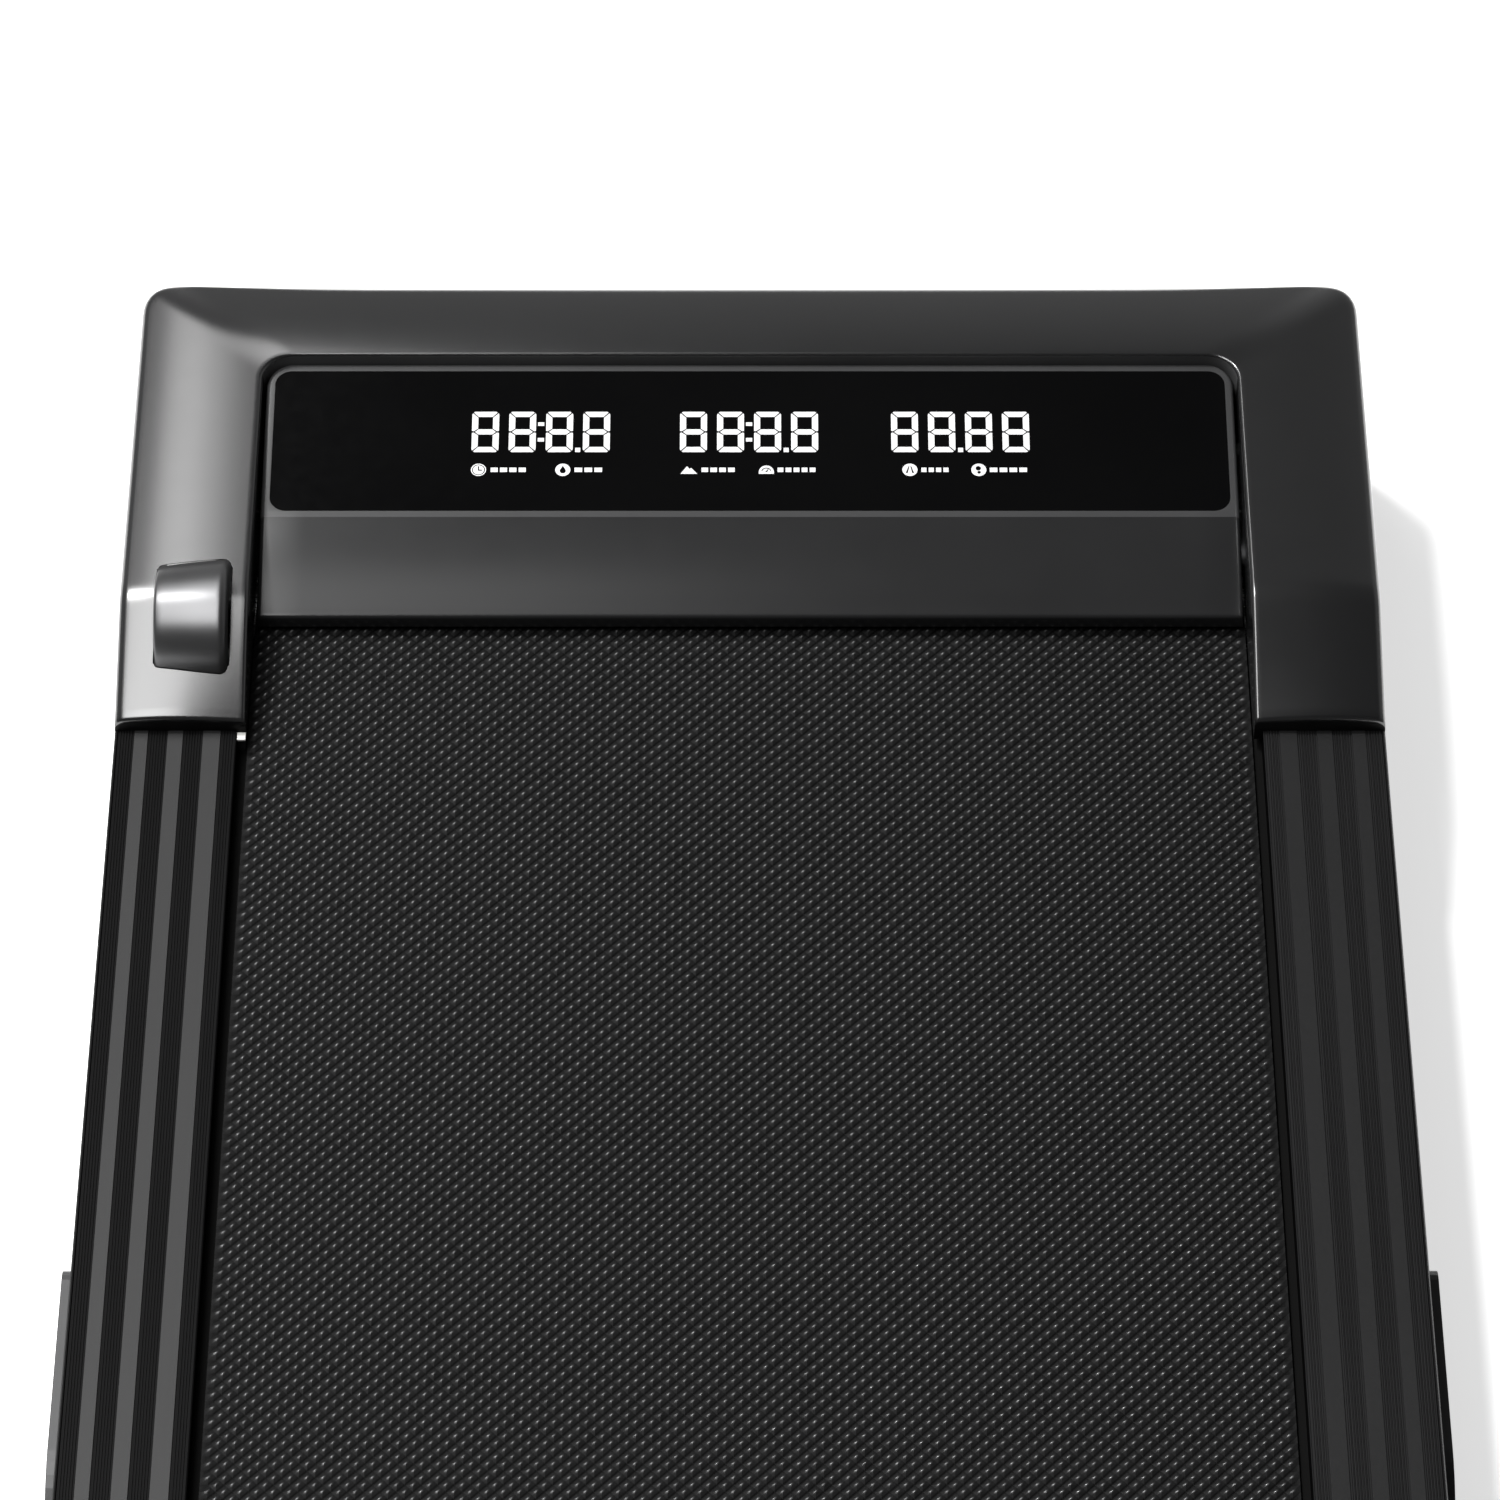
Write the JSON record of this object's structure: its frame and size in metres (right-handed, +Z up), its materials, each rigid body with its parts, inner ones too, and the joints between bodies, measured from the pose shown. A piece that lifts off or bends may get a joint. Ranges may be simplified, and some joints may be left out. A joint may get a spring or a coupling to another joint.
{
  "type": "low treadmill",
  "caption": "Low walking treadmill with a motor hood, recessed display console, speed thumb wheel, ribbed foot rails, running belt and a powered incline on transport wheels.",
  "frame": {"origin": "on the floor under the middle of the machine", "axes": "+Y along the belt towards the motor hood, +Z up, +X to the user's right when facing the hood"},
  "size_m": [0.5412, 1.23, 0.1214],
  "materials": {
    "hood_gloss": "polished dark plastic",
    "console": "satin dark plastic",
    "lens": "polished smoked window",
    "belt": "black belt with a fine diamond dot pattern",
    "rail": "ribbed matt plastic",
    "grip": "grey rubber strips",
    "wheel_grip": "satin grey plastic",
    "cover": "satin dark plastic",
    "white_plastic": "white nylon",
    "red_plastic": "red plastic",
    "black_plastic": "moulded black plastic",
    "frame_paint": "black powder coat",
    "steel": "zinc plated",
    "machined": "turned steel",
    "aluminium": "extruded",
    "wood": "dark coated fibreboard",
    "rubber": "black rubber",
    "tyre": "hard rubber",
    "board": "green solder mask",
    "copper": "wound copper and steel"
  },
  "bodies": {
    "chassis": {"frame_rail_left": "frame_paint", "frame_rail_right": "frame_paint", "deck_crossmembers": "frame_paint", "front_crossmember": "frame_paint", "motor_tray": "frame_paint", "deck_board": "wood", "deck_cushions": "rubber", "deck_screws": "steel", "running_belt": "belt", "belt_guide": "white_plastic", "front_roller_shaft": "machined", "rear_roller_shaft": "machined", "roller_saddles": "black_plastic", "tension_bolts": "steel", "drive_belt": "rubber", "motor_housing": "frame_paint", "motor_magnets": "machined", "motor_bearings": "steel", "motor_mount": "black_plastic", "controller_board": "board", "controller_heatsink": "aluminium", "power_inlet": "black_plastic", "power_switch_body": "black_plastic", "breaker_body": "black_plastic", "hood": "hood_gloss", "hood_screws": "steel", "console_panel": "console", "display_lens": "lens", "display_board": "board", "speed_wheel_cradle": "black_plastic", "speed_encoder": "black_plastic", "foot_rail_left": "rail", "foot_rail_right": "rail", "grip_strips": "grip", "rear_caps": "cover", "rear_feet": "rubber", "wiring_harness": "rubber", "pivot_covers": "cover", "lift_pivot_bolts": "steel", "lift_actuator": "aluminium"},
    "front_roller": {"front_roller_tube": "machined", "front_roller_bearings": "steel", "front_roller_pulley": "black_plastic"},
    "rear_roller": {"rear_roller_tube": "machined", "rear_roller_bearings": "steel"},
    "motor_rotor": {"motor_shaft": "machined", "motor_rotor": "copper", "motor_flywheel": "aluminium", "motor_pulley": "aluminium"},
    "speed_wheel": {"speed_wheel": "wheel_grip", "speed_wheel_axle": "steel"},
    "power_rocker": {"power_rocker": "red_plastic"},
    "reset_button": {"reset_button": "white_plastic"},
    "lift_frame": {"lift_arms": "frame_paint", "lift_crossbar": "frame_paint", "wheel_axles": "steel"},
    "lift_screw": {"lift_screw": "machined"},
    "lift_tube": {"lift_tube": "aluminium"},
    "transport_wheel_left": {"transport_wheel_left": "tyre"},
    "transport_wheel_right": {"transport_wheel_right": "tyre"}
  },
  "joints": [
    {"name": "front_roller_spin", "type": "hinge", "parent": "chassis", "child": "front_roller", "pos_m": [0, 0.462, 0.052], "axis": [-1, 0, 0], "continuous": true},
    {"name": "rear_roller_spin", "type": "hinge", "parent": "chassis", "child": "rear_roller", "pos_m": [0, -0.585, 0.052], "axis": [-1, 0, 0], "continuous": true},
    {"name": "motor_spin", "type": "hinge", "parent": "chassis", "child": "motor_rotor", "pos_m": [0.125, 0.528, 0.057], "axis": [-1, 0, 0], "continuous": true},
    {"name": "speed_wheel_turn", "type": "hinge", "parent": "chassis", "child": "speed_wheel", "pos_m": [-0.2335, 0.427, 0.0924], "axis": [-1, 0, 0], "continuous": true},
    {"name": "power_rocker_tip", "type": "hinge", "parent": "chassis", "child": "power_rocker", "pos_m": [-0.142, 0.605, 0.066], "axis": [1, 0, 0], "range_deg": [0, 16]},
    {"name": "reset_button_press", "type": "slide", "parent": "chassis", "child": "reset_button", "axis": [0, -1, 0], "range_m": [0, 0.0025], "stiffness_N_per_m": 400},
    {"name": "lift_pivot", "type": "hinge", "parent": "chassis", "child": "lift_frame", "pos_m": [0, 0.04, 0.034], "axis": [-1, 0, 0], "range_deg": [0, 4]},
    {"name": "lift_tube_slide", "type": "slide", "parent": "chassis", "child": "lift_tube", "axis": [0, 0, -1], "range_m": [0, 0.0385]},
    {"name": "lift_screw_turn", "type": "hinge", "parent": "chassis", "child": "lift_screw", "pos_m": [0, 0.584, 0.06], "axis": [0, 0, 1], "range_deg": [0, 2320]},
    {"name": "wheel_spin_left", "type": "hinge", "parent": "lift_frame", "child": "transport_wheel_left", "pos_m": [-0.243, 0.56, 0.02], "axis": [-1, 0, 0], "continuous": true},
    {"name": "wheel_spin_right", "type": "hinge", "parent": "lift_frame", "child": "transport_wheel_right", "pos_m": [0.243, 0.56, 0.02], "axis": [-1, 0, 0], "continuous": true}
  ],
  "couplings": [
    {"joint": "rear_roller_spin", "follows": "front_roller_spin", "ratio": 1},
    {"joint": "motor_spin", "follows": "front_roller_spin", "ratio": 2.364},
    {"joint": "lift_tube_slide", "follows": "lift_pivot", "m_per_rad": 0.5432},
    {"joint": "lift_screw_turn", "follows": "lift_pivot", "ratio": 568.8}
  ]
}
